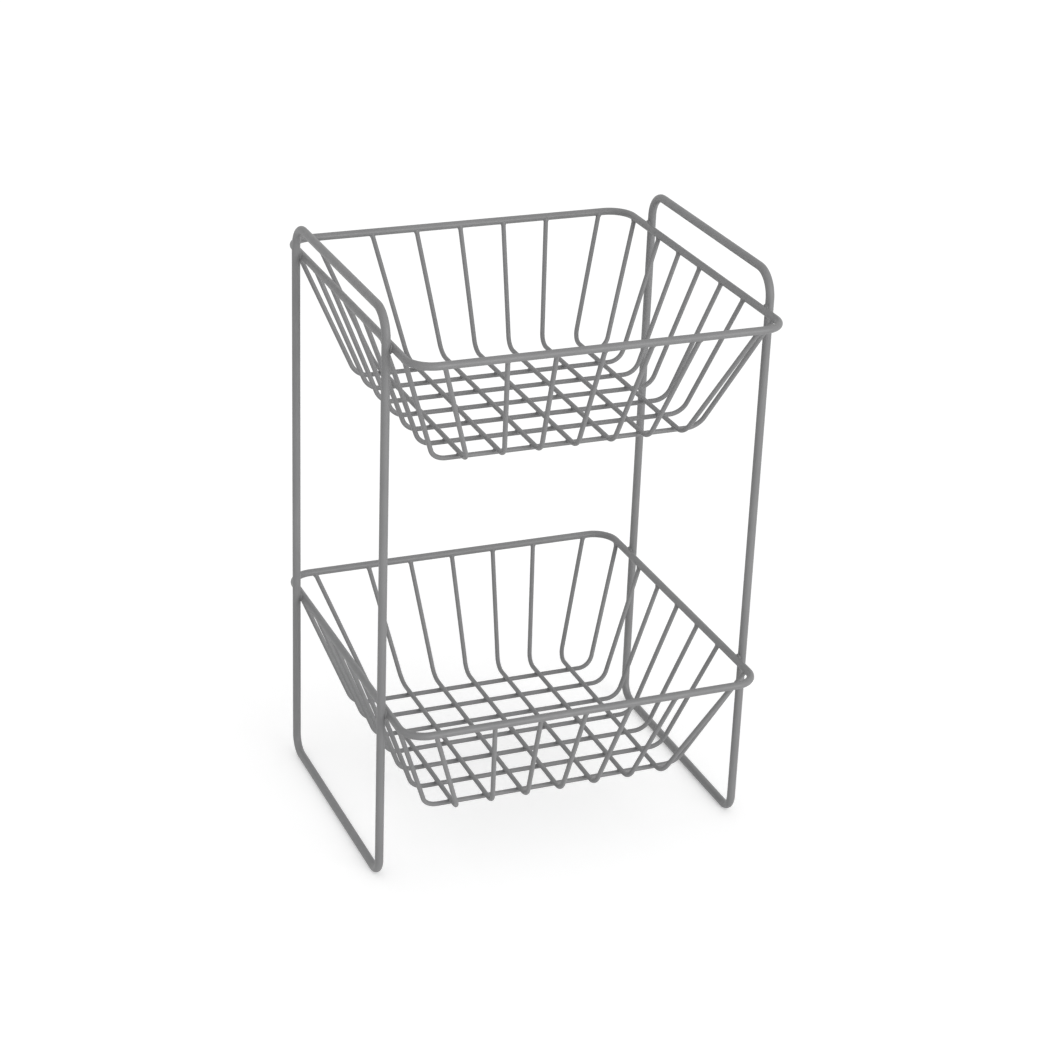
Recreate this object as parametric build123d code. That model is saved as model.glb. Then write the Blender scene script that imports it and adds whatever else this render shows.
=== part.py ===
from build123d import *
import os
from math import asin, cos, hypot

# A tiered basket rack of welded steel wire. Two side frames, each one closed
# loop of thick wire, stand outside two nearly square rims. Under each rim hangs
# a basket of long wires, which run from side to side, with cross wires, which
# run from front to back, on top of them. X points to the right, Y to the back
# and Z up. The origin is on the ground, midway between the side frames. Sizes
# are in millimetres.

# Wire diameters, and how far two wires that pass each other are pressed
# together at a weld.
# The real wires are round. Here they are bars with a few sides, and the
# diameter is measured across the flats, because so many round bends would make
# the model heavy.
frame_wire = 6.0
rim_wire = 5.4
mesh_wire = 3.4
weld_depth = 0.2
frame_wire_sides = 12
basket_wire_sides = 8

# Rims: rounded rectangles, measured on the wire's centre line
rim_width = 264.0
rim_length = 268.0
rim_corner_radius = 17.0
tier_spacing = 266.6

# Baskets: the depth is from the rim's centre line down to that of the long
# wires' floor run.
basket_depth = 88.2
mesh_bend_radius = 13.0
wires_each_way = 7

# Spacing of the wires, on the floor and at the rim. The outermost wires stand
# further apart at the rim, and their inset is from the line of the next side.
# The overhang is how far a floor run goes on past the outermost wire that
# crosses it, to the corner that its bend rounds off.
long_floor_pitch = 26.6
long_rim_pitch = 35.0
long_corner_inset = 19.6
long_overhang = 18.2
cross_floor_pitch = 26.4
cross_rim_pitch = 34.2
cross_corner_inset = 20.6
cross_overhang = 15.6

# Side frames: how far a post stands from the start of the rim's corner, how
# high the handle rises over the upper rim, and the loop's two bend radii
post_setback = 21.0
handle_rise = 24.4
handle_bend_radius = 18.0
foot_bend_radius = 12.0
ground_clearance = 40.5

# Places that follow from the sizes above
cross_depth = basket_depth - mesh_wire + weld_depth
frame_to_rim = (rim_wire + frame_wire) / 2 - weld_depth
lower_rim_height = ground_clearance + mesh_wire / 2 + basket_depth
upper_rim_height = lower_rim_height + tier_spacing
middle_wire = (wires_each_way + 1) / 2
outermost_step = middle_wire - 1


def bent_wire(corners, bend_radii, diameter, sides, closed=False):
    """A wire along straight runs in one plane, with an arc at each bend.

    Two of its flats lie along the plane of the bends.
    """
    corners = [Vector(*corner) for corner in corners]
    path = FilletPolyline(*corners, radius=bend_radii, close=closed)
    plane_normal = (corners[1] - corners[0]).cross(corners[2] - corners[1]).normalized()
    start = Plane(origin=path @ 0, x_dir=plane_normal, z_dir=path % 0)
    profile = RegularPolygon(diameter / 2, sides, major_radius=False, rotation=180 / sides)
    return sweep(start * profile, path=path)


def side_frame(side):
    """One loop: foot rail, front post, handle and back post. Side is -1 or 1."""
    x = side * (rim_width / 2 + frame_to_rim)
    post = rim_length / 2 - rim_corner_radius - post_setback
    foot = frame_wire / 2
    handle = upper_rim_height + handle_rise
    corners = [(x, -post, foot), (x, post, foot), (x, post, handle), (x, -post, handle)]
    radii = [foot_bend_radius, foot_bend_radius, handle_bend_radius, handle_bend_radius]
    return bent_wire(corners, radii, frame_wire, frame_wire_sides, closed=True)


def rim(height):
    """A rounded rectangle of wire, lying flat at a height."""
    x, y = rim_width / 2, rim_length / 2
    corners = [(-x, -y, height), (x, -y, height), (x, y, height), (-x, y, height)]
    radii = [rim_corner_radius] * len(corners)
    return bent_wire(corners, radii, rim_wire, basket_wire_sides, closed=True)


def rim_place(step, pitch, half_side, corner_inset):
    """Where a wire meets the rim, measured along the rim's side from its middle."""
    if abs(step) < outermost_step:
        return step * pitch
    return (half_side - corner_inset) * step / outermost_step


def rim_seat(place, half_reach, half_side):
    """The point of the rim's centre line where a wire that runs along X meets it.

    It lies on the straight side, or on the corner's arc where the place is past
    the end of the straight side.
    """
    past_straight = max(abs(place) - (half_side - rim_corner_radius), 0)
    turn = asin(past_straight / rim_corner_radius)
    return Vector(half_reach - rim_corner_radius * (1 - cos(turn)), place, 0)


def basket_wire(floor_place, floor_half_run, depth, place, half_reach, half_side):
    """The four corner points of a U-shaped wire that runs along X, from the rim's height.

    Its centre line points at that of the rim and stops at the rim's surface.
    """
    bend_corner = Vector(floor_half_run, floor_place, -depth)
    seat = rim_seat(place, half_reach, half_side)
    rise = seat - bend_corner
    end = seat - rise * (rim_wire / 2) / hypot(rise.X, rise.Z)
    other_side = [Vector(-point.X, point.Y, point.Z) for point in (end, bend_corner)]
    return [*other_side, bend_corner, end]


def long_wire(number, rim_height):
    """A wire that runs from side to side, under the cross wires."""
    step = number - middle_wire
    place = rim_place(step, long_rim_pitch, rim_length / 2, long_corner_inset)
    half_run = outermost_step * cross_floor_pitch + long_overhang
    points = basket_wire(
        step * long_floor_pitch, half_run, basket_depth, place, rim_width / 2, rim_length / 2
    )
    wire = bent_wire(points, mesh_bend_radius, mesh_wire, basket_wire_sides)
    return Pos(0, 0, rim_height) * wire


def cross_wire(number, rim_height):
    """A wire that runs from front to back, on top of the long wires."""
    step = number - middle_wire
    place = rim_place(step, cross_rim_pitch, rim_width / 2, cross_corner_inset)
    half_run = outermost_step * long_floor_pitch + cross_overhang
    points = basket_wire(
        step * cross_floor_pitch, half_run, cross_depth, place, rim_length / 2, rim_width / 2
    )
    turned = [Vector(point.Y, point.X, point.Z) for point in points]
    wire = bent_wire(turned, mesh_bend_radius, mesh_wire, basket_wire_sides)
    return Pos(0, 0, rim_height) * wire


nodes = {
    "left_side_frame": side_frame(-1),
    "right_side_frame": side_frame(1),
}
for tier, height in (("lower", lower_rim_height), ("upper", upper_rim_height)):
    nodes[f"{tier}_rim"] = rim(height)
    for number in range(1, wires_each_way + 1):
        nodes[f"{tier}_long_wire_{number}"] = long_wire(number, height)
        nodes[f"{tier}_cross_wire_{number}"] = cross_wire(number, height)

os.makedirs("parts", exist_ok=True)
for name, shape in nodes.items():
    shape.label = name
    export_step(shape, f"parts/{name}.step")
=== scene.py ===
"""A rack of welded, powder-coated steel wire: two side frames that carry two baskets.

Metres, X to the right, Y to the back, Z up, with the origin on the ground midway
between the side frames. The sections follow the rack as it is put together.
"""

from math import asin, cos, pi, radians, tan

import bmesh
import bpy
from mathutils import Matrix, Vector


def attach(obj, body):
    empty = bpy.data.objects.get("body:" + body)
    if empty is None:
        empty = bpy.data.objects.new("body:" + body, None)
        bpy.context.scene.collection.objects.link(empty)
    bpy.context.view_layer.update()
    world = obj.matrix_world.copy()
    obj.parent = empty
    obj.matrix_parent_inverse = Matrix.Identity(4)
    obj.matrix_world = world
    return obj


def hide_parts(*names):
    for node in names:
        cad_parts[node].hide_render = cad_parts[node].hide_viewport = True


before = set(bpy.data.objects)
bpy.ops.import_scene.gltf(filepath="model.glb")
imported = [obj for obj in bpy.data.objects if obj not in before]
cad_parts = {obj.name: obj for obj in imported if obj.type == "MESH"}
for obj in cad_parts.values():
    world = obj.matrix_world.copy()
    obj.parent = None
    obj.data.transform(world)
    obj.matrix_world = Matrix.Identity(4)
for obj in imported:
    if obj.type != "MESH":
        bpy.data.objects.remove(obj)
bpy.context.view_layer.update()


# Side frames
#
# Each side of the rack is one closed loop of thick round wire: foot rail, front
# post, handle and back post. The wire is bent cold round dies, butt-welded into
# a loop, and coated with grey powder once the whole rack has been welded.

# Wires are given by their diameter, and by where their centre lines run and bend.
frame_wire = 0.0060
frame_x = 0.1375
post_y = 0.0960
foot_z = 0.0030
handle_z = 0.4214
foot_bend = 0.012
handle_bend = 0.018
sides_of_thick_wire = 32
bend_step = radians(6)


def feed_straight(wire, ring, run):
    """Feed the wire's end ring forward along a straight run, and return the new ring."""
    fed = bmesh.ops.extrude_edge_only(wire, edges=ring)["geom"]
    end = {item for item in fed if isinstance(item, bmesh.types.BMVert)}
    bmesh.ops.translate(wire, verts=list(end), vec=run)
    fed_edges = [item for item in fed if isinstance(item, bmesh.types.BMEdge)]
    return [edge for edge in fed_edges if set(edge.verts) <= end]


def turn_round_die(wire, ring, centre, axis, angle):
    """Bend the wire's end ring round a die, and return the new ring."""
    fewest_steps = 2
    steps = max(round(angle / bend_step), fewest_steps)
    bent = bmesh.ops.spin(
        wire, geom=ring, cent=centre, axis=axis, angle=angle, steps=steps, use_merge=False
    )["geom_last"]
    return [item for item in bent if isinstance(item, bmesh.types.BMEdge)]


def round_off_ends(wire, cut):
    """Close the sawn ends and break their edges, as tumbling and powder leave them."""
    ends = [edge for edge in wire.edges if edge.is_boundary]
    bmesh.ops.edgeloop_fill(wire, edges=ends)
    bmesh.ops.bevel(
        wire, geom=ends, offset=cut, segments=3, profile=0.5, affect="EDGES", material=-1
    )


def bend_wire(corners, bend_radii, diameter, sides, closed=False):
    """A round wire that runs straight between corners and is bent at each of them."""
    corners = [Vector(corner) for corner in corners]
    if closed:
        stops = [*corners, (corners[-1] + corners[0]) / 2]
        here = stops[-1]
    else:
        stops = corners[1:]
        here = corners[0]
    along = (stops[0] - here).normalized()
    wire = bmesh.new()
    facing = along.to_track_quat("Z", "Y").to_matrix().to_4x4()
    bmesh.ops.create_circle(
        wire, segments=sides, radius=diameter / 2, matrix=Matrix.Translation(here) @ facing
    )
    ring = list(wire.edges)
    for corner, after, radius in zip(stops, stops[1:], bend_radii):
        onward = (after - corner).normalized()
        angle = along.angle(onward)
        bend_start = corner - along * radius * tan(angle / 2)
        axis = along.cross(onward).normalized()
        centre = bend_start + axis.cross(along) * radius
        ring = feed_straight(wire, ring, bend_start - here)
        ring = turn_round_die(wire, ring, centre, axis, angle)
        here = corner + onward * radius * tan(angle / 2)
        along = onward
    feed_straight(wire, ring, stops[-1] - here)
    if closed:
        butt_gap = diameter / 1000
        bmesh.ops.remove_doubles(wire, verts=wire.verts, dist=butt_gap)
    else:
        round_off_ends(wire, cut=diameter / 8)
    bmesh.ops.recalc_face_normals(wire, faces=wire.faces)
    return wire


def grey_powder_coat():
    """Satin grey powder coat: a fine orange peel, with faint changes of gloss and tone.

    The patches and dimples are counted along a metre.
    """
    tone_patches, gloss_patches, peel_dimples = 28, 160, 900
    dark_grey, light_grey = (0.195, 0.195, 0.198, 1), (0.215, 0.215, 0.217, 1)
    glossiest, dullest = 0.42, 0.54
    peel_height, peel_strength = 0.00012, 0.6
    coat = bpy.data.materials.new("grey_powder_coat")
    coat.use_nodes = True
    nodes, links = coat.node_tree.nodes, coat.node_tree.links
    shader = nodes["Principled BSDF"]
    place = nodes.new("ShaderNodeTexCoord").outputs["Object"]

    def noise(scale, detail):
        node = nodes.new("ShaderNodeTexNoise")
        node.inputs["Scale"].default_value = scale
        node.inputs["Detail"].default_value = detail
        links.new(place, node.inputs["Vector"])
        return node.outputs["Fac"]

    def spread(value, low, high):
        usual_lowest, usual_highest = 0.3, 0.7
        node = nodes.new("ShaderNodeMapRange")
        node.inputs["From Min"].default_value = usual_lowest
        node.inputs["From Max"].default_value = usual_highest
        node.inputs["To Min"].default_value = low
        node.inputs["To Max"].default_value = high
        links.new(value, node.inputs["Value"])
        return node.outputs["Result"]

    tone = nodes.new("ShaderNodeMix")
    tone.data_type = "RGBA"
    tone.inputs["A"].default_value = dark_grey
    tone.inputs["B"].default_value = light_grey
    links.new(spread(noise(tone_patches, detail=4), 0, 1), tone.inputs["Factor"])
    links.new(tone.outputs["Result"], shader.inputs["Base Color"])
    links.new(
        spread(noise(gloss_patches, detail=3), glossiest, dullest), shader.inputs["Roughness"]
    )

    peel = nodes.new("ShaderNodeBump")
    peel.inputs["Strength"].default_value = peel_strength
    peel.inputs["Distance"].default_value = peel_height
    links.new(noise(peel_dimples, detail=2), peel.inputs["Height"])
    links.new(peel.outputs["Normal"], shader.inputs["Normal"])
    return coat


powder_coat = grey_powder_coat()


def add_piece(name, form, *nodes_replaced):
    """Turn a bmesh into a coated piece that is fixed to the rack."""
    mesh = bpy.data.meshes.new(name)
    form.to_mesh(mesh)
    form.free()
    mesh.shade_smooth()
    mesh.materials.append(powder_coat)
    piece = bpy.data.objects.new(name, mesh)
    bpy.context.collection.objects.link(piece)
    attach(piece, "root")
    if nodes_replaced:
        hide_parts(*nodes_replaced)


for side, x in (("left", -frame_x), ("right", frame_x)):
    foot_rail = [(x, -post_y, foot_z), (x, post_y, foot_z)]
    handle = [(x, post_y, handle_z), (x, -post_y, handle_z)]
    bend_radii = [foot_bend, foot_bend, handle_bend, handle_bend]
    loop = bend_wire(
        foot_rail + handle, bend_radii, frame_wire, sides_of_thick_wire, closed=True
    )
    add_piece(f"{side}_frame_loop", loop, f"{side}_side_frame")


# Rims
#
# Each basket hangs in a rim of round wire, bent to a nearly square loop with
# rounded corners. The posts of the side frames are welded to the outside of its
# two side bars, where the posts and the bars touch.

rim_wire = 0.0054
rim_x = 0.1320
rim_y = 0.1340
rim_bend = 0.017
rim_heights = {"lower": 0.1304, "upper": 0.3970}

for tier, z in rim_heights.items():
    corners = [(-rim_x, -rim_y, z), (rim_x, -rim_y, z), (rim_x, rim_y, z), (-rim_x, rim_y, z)]
    bend_radii = [rim_bend] * len(corners)
    loop = bend_wire(corners, bend_radii, rim_wire, sides_of_thick_wire, closed=True)
    add_piece(f"{tier}_rim_loop", loop, f"{tier}_rim")


# Basket wires
#
# Seven long wires run from side to side, and seven cross wires lie on top of
# them from front to back. Each is bent to a flared U, and its ends are butted
# against the underside of the rim, the outermost ones close to its corners.

mesh_wire = 0.0034
weld_depth = 0.0002
basket_depth = 0.0882
cross_depth = basket_depth - mesh_wire + weld_depth
mesh_bend = 0.013
end_to_rim_centre = 0.0020
sides_of_mesh_wire = 20

# The middle wire is step 0, and the outermost ones meet the rim off the even pitch.
outermost = 3
steps_from_middle = range(-outermost, outermost + 1)
long_floor_pitch, long_rim_pitch, outer_long_place = 0.0266, 0.0350, 0.1144
cross_floor_pitch, cross_rim_pitch, outer_cross_place = 0.0264, 0.0342, 0.1114

# Half a floor run reaches past the outermost wire that it crosses, to its bend.
long_overhang, cross_overhang = 0.0182, 0.0156
long_half_run = outermost * cross_floor_pitch + long_overhang
cross_half_run = outermost * long_floor_pitch + cross_overhang


def rim_centre(place, reach, half_side):
    """The point of the rim's centre line, on a side or a corner, that a wire along X meets."""
    turn = asin(max(abs(place) - (half_side - rim_bend), 0) / rim_bend)
    return Vector((reach - rim_bend * (1 - cos(turn)), place, 0))


def rim_place(step, pitch, outer_place):
    """How far along the rim's side, from its middle, a wire meets it."""
    return step * pitch if abs(step) < outermost else outer_place * step / outermost


def basket_wire(floor_place, half_run, depth, seat):
    """The four corner points of a U-shaped wire along X, with the rim at height 0."""
    bend_corner = Vector((half_run, floor_place, -depth))
    end = seat + (bend_corner - seat).normalized() * end_to_rim_centre
    flip = Matrix.Diagonal((-1, 1, 1))
    return [flip @ end, flip @ bend_corner, bend_corner, end]


# Each end is kept with the line that its wire comes up along, for the welds.
wire_ends = {tier: [] for tier in rim_heights}
swap_xy = Matrix(((0, 1, 0), (1, 0, 0), (0, 0, 1)))
for tier, z in rim_heights.items():
    for step in steps_from_middle:
        long_place = rim_place(step, long_rim_pitch, outer_long_place)
        long_seat = rim_centre(long_place, rim_x, rim_y)
        long_corners = basket_wire(
            step * long_floor_pitch, long_half_run, basket_depth, long_seat
        )
        cross_place = rim_place(step, cross_rim_pitch, outer_cross_place)
        cross_seat = rim_centre(cross_place, rim_y, rim_x)
        cross_corners = basket_wire(
            step * cross_floor_pitch, cross_half_run, cross_depth, cross_seat
        )
        cross_corners = [swap_xy @ corner for corner in cross_corners]
        number = step + outermost + 1
        for kind, corners in (("long", long_corners), ("cross", cross_corners)):
            corners = [corner + Vector((0, 0, z)) for corner in corners]
            wire = bend_wire(corners, [mesh_bend] * 2, mesh_wire, sides_of_mesh_wire)
            add_piece(f"{tier}_{kind}_rod_{number}", wire, f"{tier}_{kind}_wire_{number}")
            first_end, first_bend, last_bend, last_end = corners
            wire_ends[tier].append((first_end, first_end - first_bend))
            wire_ends[tier].append((last_end, last_end - last_bend))


# Welds
#
# The wires are resistance-welded: they are pressed together while they glow, a
# little steel squeezes out round each contact, and the powder rounds it off.

nugget_turns = 12
nugget_rings = 8


def add_nugget(bead, at, size):
    """A bead of squeezed-out steel, with a half size along each axis."""
    bmesh.ops.create_uvsphere(
        bead,
        u_segments=nugget_turns,
        v_segments=nugget_rings,
        radius=1,
        matrix=Matrix.Translation(at) @ Matrix.Diagonal((*size, 1)),
    )


def add_collar(bead, end, rise, profile):
    """A flared ring of steel round a wire that butts against the rim.

    The profile holds distances back from the wire's end and out from its axis. It runs
    on a little past the end, so that the flare closes on the rim's round side.
    """
    rise = rise.normalized()
    across = rise.orthogonal().normalized()
    outline = [bead.verts.new(end - rise * back + across * out) for back, out in profile]
    edges = [bead.edges.new(pair) for pair in zip(outline, outline[1:])]
    bmesh.ops.spin(
        bead,
        geom=outline + edges,
        cent=end,
        axis=rise,
        angle=2 * pi,
        steps=nugget_turns,
        use_merge=True,
    )


floor_nugget = (0.0019, 0.0019, 0.0011)
for tier, z in rim_heights.items():
    beads = bmesh.new()
    contact = z - (basket_depth + cross_depth) / 2
    for across in steps_from_middle:
        for along in steps_from_middle:
            at = Vector((across * cross_floor_pitch, along * long_floor_pitch, contact))
            add_nugget(beads, at, floor_nugget)
    add_piece(f"{tier}_floor_welds", beads)

collar_profile = [
    (0.0026, 0), (0.0026, 0.00160), (0.0018, 0.00176), (0.0012, 0.00192), (0.0006, 0.00216),
    (0.0000, 0.00234), (-0.0006, 0.00236), (-0.0010, 0.00220), (-0.0010, 0),
]
seam_gap = 0.00001
for tier, ends in wire_ends.items():
    beads = bmesh.new()
    for end, rise in ends:
        add_collar(beads, end, rise, collar_profile)
    bmesh.ops.remove_doubles(beads, verts=beads.verts, dist=seam_gap)
    bmesh.ops.recalc_face_normals(beads, faces=beads.faces)
    add_piece(f"{tier}_rim_welds", beads)

post_nugget = (0.0016, 0.0033, 0.0033)
post_contact = rim_x + rim_wire / 2 - weld_depth / 2
beads = bmesh.new()
for z in rim_heights.values():
    for x in (-post_contact, post_contact):
        for y in (-post_y, post_y):
            add_nugget(beads, Vector((x, y, z)), post_nugget)
add_piece("post_welds", beads)


# Floor, light and camera
#
# The rack stands on a white floor that runs out into a white room. The room's even
# light falls on it from all round, and one broad lamp in front lifts its front faces.

floor_half_width = 15
floor_form = bmesh.new()
bmesh.ops.create_grid(floor_form, x_segments=2, y_segments=2, size=floor_half_width)
floor_mesh = bpy.data.meshes.new("floor")
floor_form.to_mesh(floor_mesh)
floor_form.free()
floor = bpy.data.objects.new("floor", floor_mesh)
bpy.context.collection.objects.link(floor)


def seen_directly(nodes, links):
    """1 for what the camera, a reflection or a clear part shows, 0 for light on a surface."""
    rays = nodes.new("ShaderNodeLightPath")
    total = rays.outputs["Is Camera Ray"]
    for kind in ("Is Glossy Ray", "Is Transmission Ray"):
        either = nodes.new("ShaderNodeMath")
        either.operation = "MAXIMUM"
        links.new(total, either.inputs[0])
        links.new(rays.outputs[kind], either.inputs[1])
        total = either.outputs["Value"]
    return total


# The floor glows a little to the eye alone, so that it looks as white as the room and
# still shows the rack's shadow.
floor_paint = (0.88, 0.88, 0.88, 1)
floor_glow = 0.31
room_light = 0.79

paper = bpy.data.materials.new("white_floor")
paper.use_nodes = True
nodes, links = paper.node_tree.nodes, paper.node_tree.links
nodes.remove(nodes["Principled BSDF"])
matt = nodes.new("ShaderNodeBsdfDiffuse")
matt.inputs["Color"].default_value = floor_paint
glow = nodes.new("ShaderNodeEmission")
lift = nodes.new("ShaderNodeMath")
lift.operation = "MULTIPLY"
lift.inputs[1].default_value = floor_glow
links.new(seen_directly(nodes, links), lift.inputs[0])
links.new(lift.outputs["Value"], glow.inputs["Strength"])
both = nodes.new("ShaderNodeAddShader")
links.new(matt.outputs["BSDF"], both.inputs[0])
links.new(glow.outputs["Emission"], both.inputs[1])
links.new(both.outputs["Shader"], nodes["Material Output"].inputs["Surface"])
floor.data.materials.append(paper)

world = bpy.data.worlds.new("studio")
bpy.context.scene.world = world
world.use_nodes = True
nodes, links = world.node_tree.nodes, world.node_tree.links
level = nodes.new("ShaderNodeMapRange")
level.inputs["To Min"].default_value = room_light
level.inputs["To Max"].default_value = 1
links.new(seen_directly(nodes, links), level.inputs["Value"])
links.new(level.outputs["Result"], nodes["Background"].inputs["Strength"])
nodes["Background"].inputs["Color"].default_value = (1, 1, 1, 1)

lamp = bpy.data.lights.new("front_softbox", "AREA")
lamp.shape = "SQUARE"
lamp.size = 4.4
lamp.energy = 262
lamp_place = Vector((2.2, -6.3, 1.0))
rack_middle = Vector((0, 0, 0.21))
softbox = bpy.data.objects.new("front_softbox", lamp)
softbox.location = lamp_place
softbox.rotation_euler = (lamp_place - rack_middle).to_track_quat("Z", "Y").to_euler()
bpy.context.collection.objects.link(softbox)

camera_data = bpy.data.cameras.new("camera")
camera_data.sensor_width = 36
camera_data.lens = 87.59
camera = bpy.data.objects.new("camera", camera_data)
heading, tilt, roll = radians(-23.071), radians(90 - 24.558), radians(2.267)
camera.matrix_world = (
    Matrix.Translation((-0.6566, -1.5643, 0.9831))
    @ Matrix.Rotation(heading, 4, "Z")
    @ Matrix.Rotation(tilt, 4, "X")
    @ Matrix.Rotation(roll, 4, "Z")
)
bpy.context.collection.objects.link(camera)
bpy.context.scene.camera = camera
bpy.context.scene.view_settings.view_transform = "Standard"
